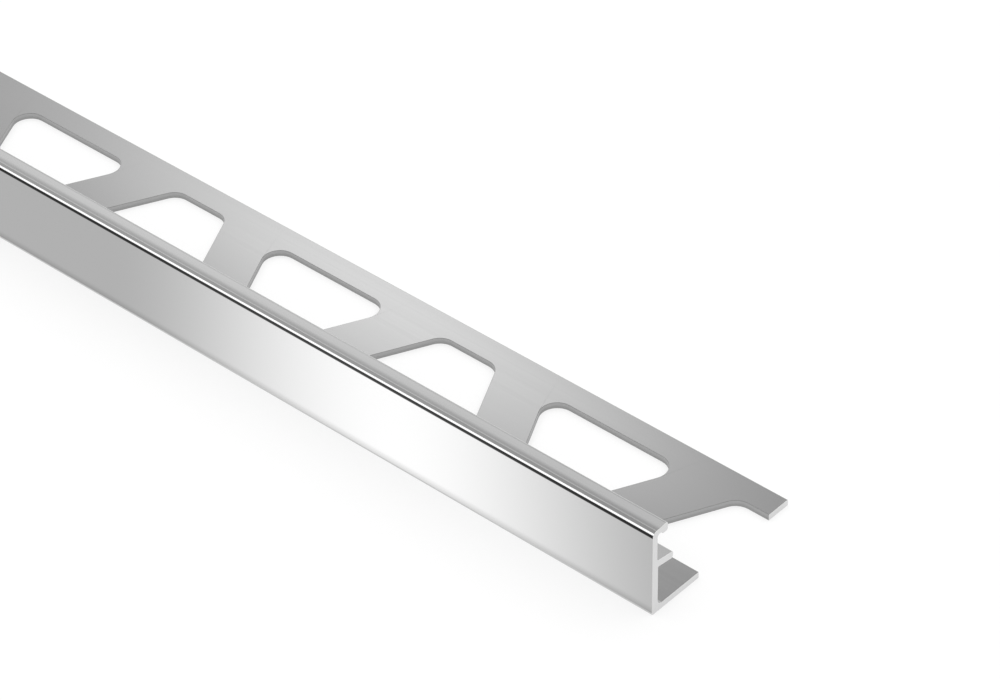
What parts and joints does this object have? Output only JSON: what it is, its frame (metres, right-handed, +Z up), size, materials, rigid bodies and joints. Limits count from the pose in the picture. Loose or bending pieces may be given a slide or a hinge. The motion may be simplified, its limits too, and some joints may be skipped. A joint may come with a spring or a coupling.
{
  "type": "tile edge trim",
  "caption": "Straight metal edge trim for tiles: a plain face with a beaded lip, a spacer fin behind it and a flat anchoring leg punched with alternating tapered holes.",
  "frame": {"origin": "middle of the bar's length and depth, on the underside of the anchoring leg", "axes": "+X along the bar, towards the end that cuts a hole in half; the visible face looks along -Y; +Z up, from the leg to the lip"},
  "size_m": [1, 0.025, 0.0126],
  "materials": {
    "bright_aluminium": "bright polished and clear anodised extrusion, with plain sawn ends and punched holes"
  },
  "bodies": {
    "root": {"edge_trim": "bright_aluminium"}
  },
  "joints": []
}
